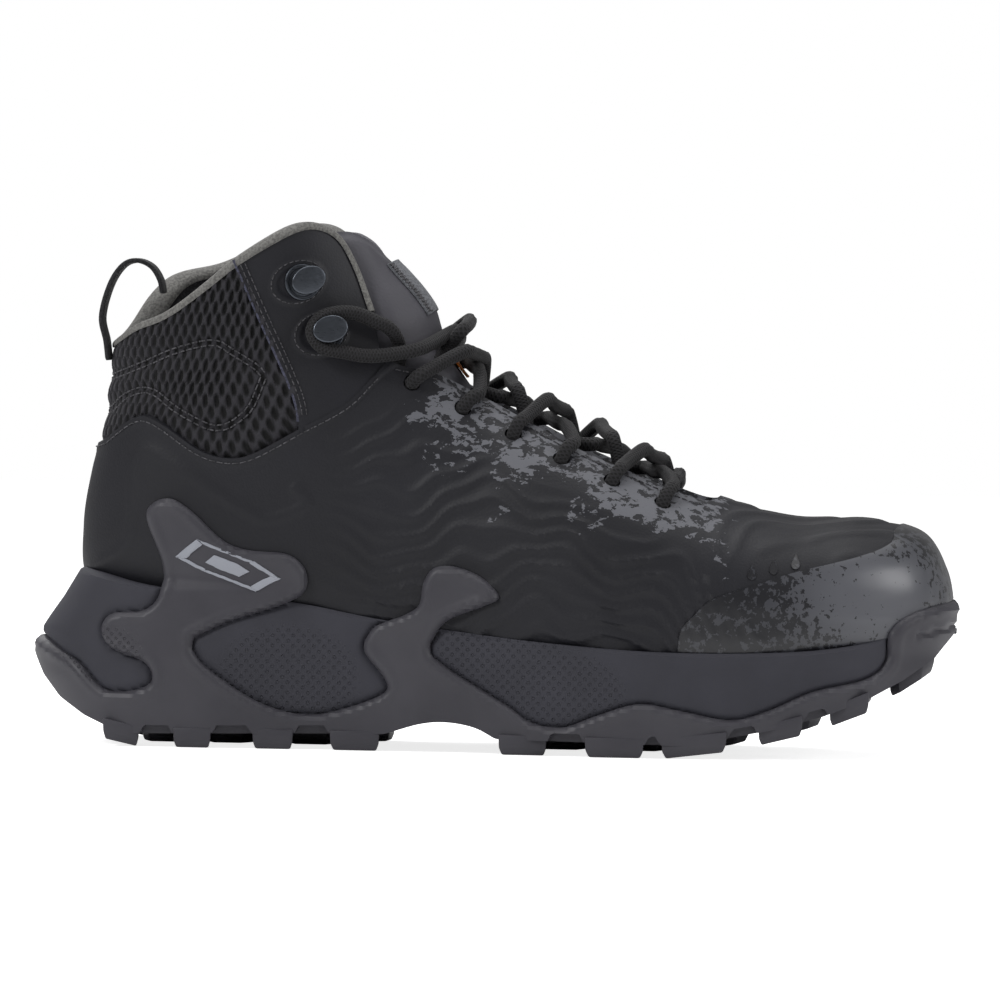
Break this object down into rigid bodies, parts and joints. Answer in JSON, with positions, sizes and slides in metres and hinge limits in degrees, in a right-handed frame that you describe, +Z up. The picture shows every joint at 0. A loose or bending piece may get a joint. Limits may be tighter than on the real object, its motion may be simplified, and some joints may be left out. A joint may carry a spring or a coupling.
{
  "type": "safety work boot",
  "caption": "Mid-height lace-up safety work boot with a moulded upper, cup rubber outsole, foam midsole, quilted collar, lace hooks and a protective toe cap inside.",
  "frame": {"origin": "on the ground, under the centre of the boot's box", "axes": "+X from heel to toe, +Y towards the inner (medial) side of this right boot, +Z up"},
  "size_m": [0.3067, 0.1074, 0.174],
  "materials": {
    "rubber": "moulded matt rubber",
    "foam": "moulded EVA foam, matt",
    "nylon": "moulded nylon",
    "board": "woven insole board",
    "steel": "pressed steel",
    "padding": "foam padding",
    "moulded_upper": "moulded synthetic skin, fine grain",
    "quilted_mesh": "quilted spacer mesh",
    "lining": "knitted lining",
    "binding": "woven melange binding",
    "tongue_skin": "textile tongue face",
    "accent": "woven tape",
    "film": "glossy welded film",
    "gunmetal": "gunmetal plating",
    "braid": "round braided lace",
    "clear_tip": "clear plastic over black braid",
    "webbing": "woven webbing"
  },
  "bodies": {
    "boot": {"outsole": "rubber", "midsole": "foam", "arch_shank": "nylon", "insole_board": "board", "steel_toe_cap": "steel", "toe_cap_edge_strip": "nylon", "heel_counter": "nylon", "interlining": "padding", "upper_shell": "moulded_upper", "collar_mesh": "quilted_mesh", "hook_panel_lateral": "moulded_upper", "hook_panel_medial": "moulded_upper", "eyestay_lateral": "nylon", "eyestay_medial": "nylon", "collar_foam": "padding", "collar_lining": "lining", "collar_binding": "binding", "foot_lining": "lining", "footbed": "padding", "tongue_lower": "tongue_skin", "tongue_gusset": "lining", "tongue_lace_tab": "accent", "toe_film": "film", "hook_upper_lateral": "gunmetal", "hook_washer_upper_lateral": "gunmetal", "hook_lower_lateral": "gunmetal", "hook_washer_lower_lateral": "gunmetal", "hook_upper_medial": "gunmetal", "hook_washer_upper_medial": "gunmetal", "hook_lower_medial": "gunmetal", "hook_washer_lower_medial": "gunmetal", "lace": "braid", "aglet_lateral": "clear_tip", "aglet_medial": "clear_tip"},
    "tongue": {"tongue_top": "tongue_skin", "tongue_label": "binding"},
    "loop": {"pull_loop": "webbing"}
  },
  "joints": [
    {"name": "tongue_tilt", "type": "hinge", "parent": "boot", "child": "tongue", "pos_m": [-0.0175, 0, 0.1395], "axis": [0, 1, 0], "range_deg": [0, 35]},
    {"name": "pull_loop_swing", "type": "hinge", "parent": "boot", "child": "loop", "pos_m": [-0.1302, 0, 0.1265], "axis": [0, 1, 0], "range_deg": [-25, 0]}
  ]
}
